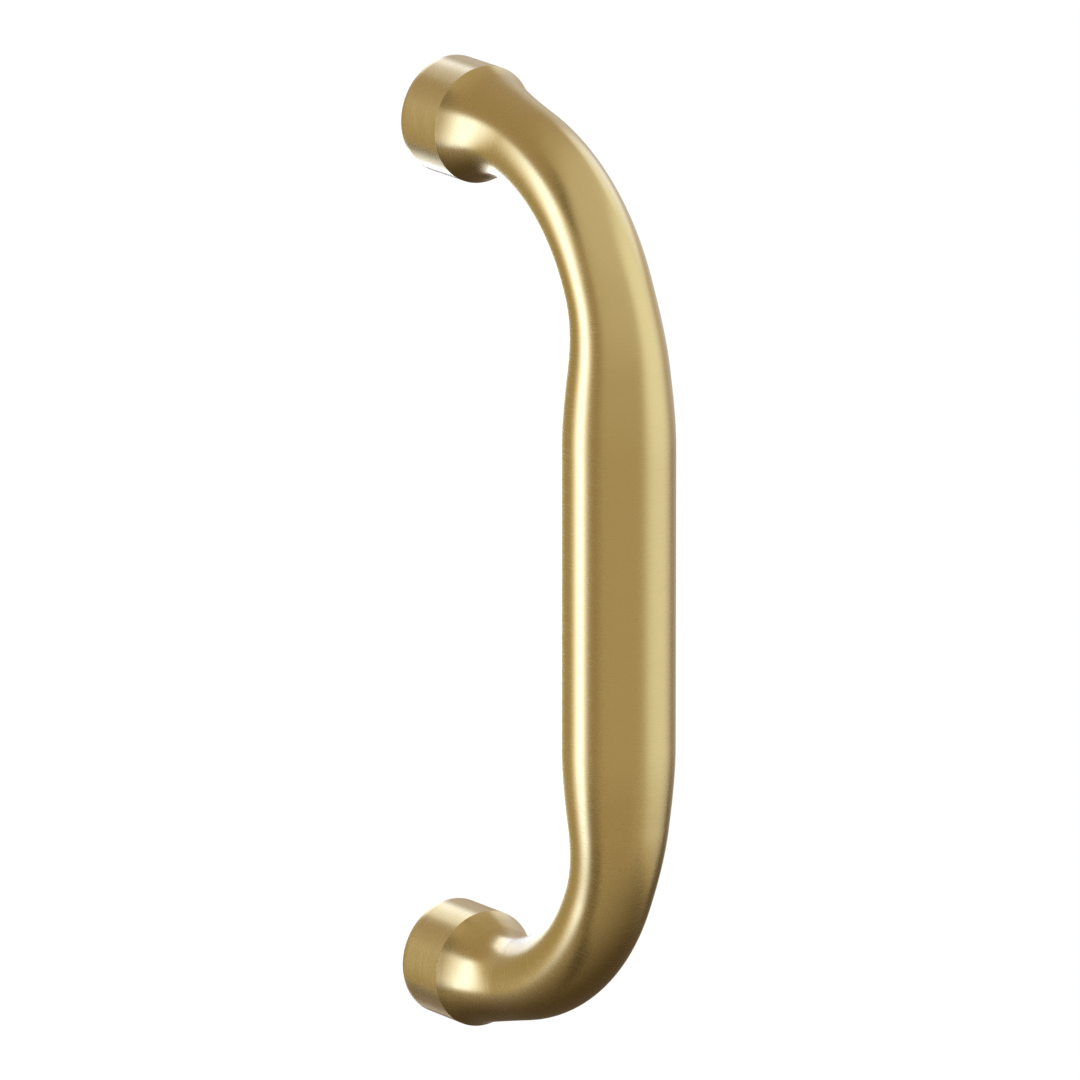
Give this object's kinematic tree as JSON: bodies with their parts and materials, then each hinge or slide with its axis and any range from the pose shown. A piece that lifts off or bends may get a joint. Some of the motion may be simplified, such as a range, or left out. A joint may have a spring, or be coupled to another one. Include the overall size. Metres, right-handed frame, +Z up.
{
  "type": "door pull",
  "caption": "Bent round-bar door pull in satin brushed brass, with a swelling grip, slim necks and flared round feet tapped for bolts from behind the door.",
  "frame": {"origin": "on the door plane, midway between the two fixing holes", "axes": "+Z up along the pull's length, +Y into the door, +X to the right seen from in front; the grip stands out towards -Y"},
  "size_m": [0.0204, 0.059, 0.1704],
  "materials": {
    "satin_brass": "satin brushed around the bar, clear"
  },
  "bodies": {
    "root": {"pull_body": "satin_brass"}
  },
  "joints": []
}
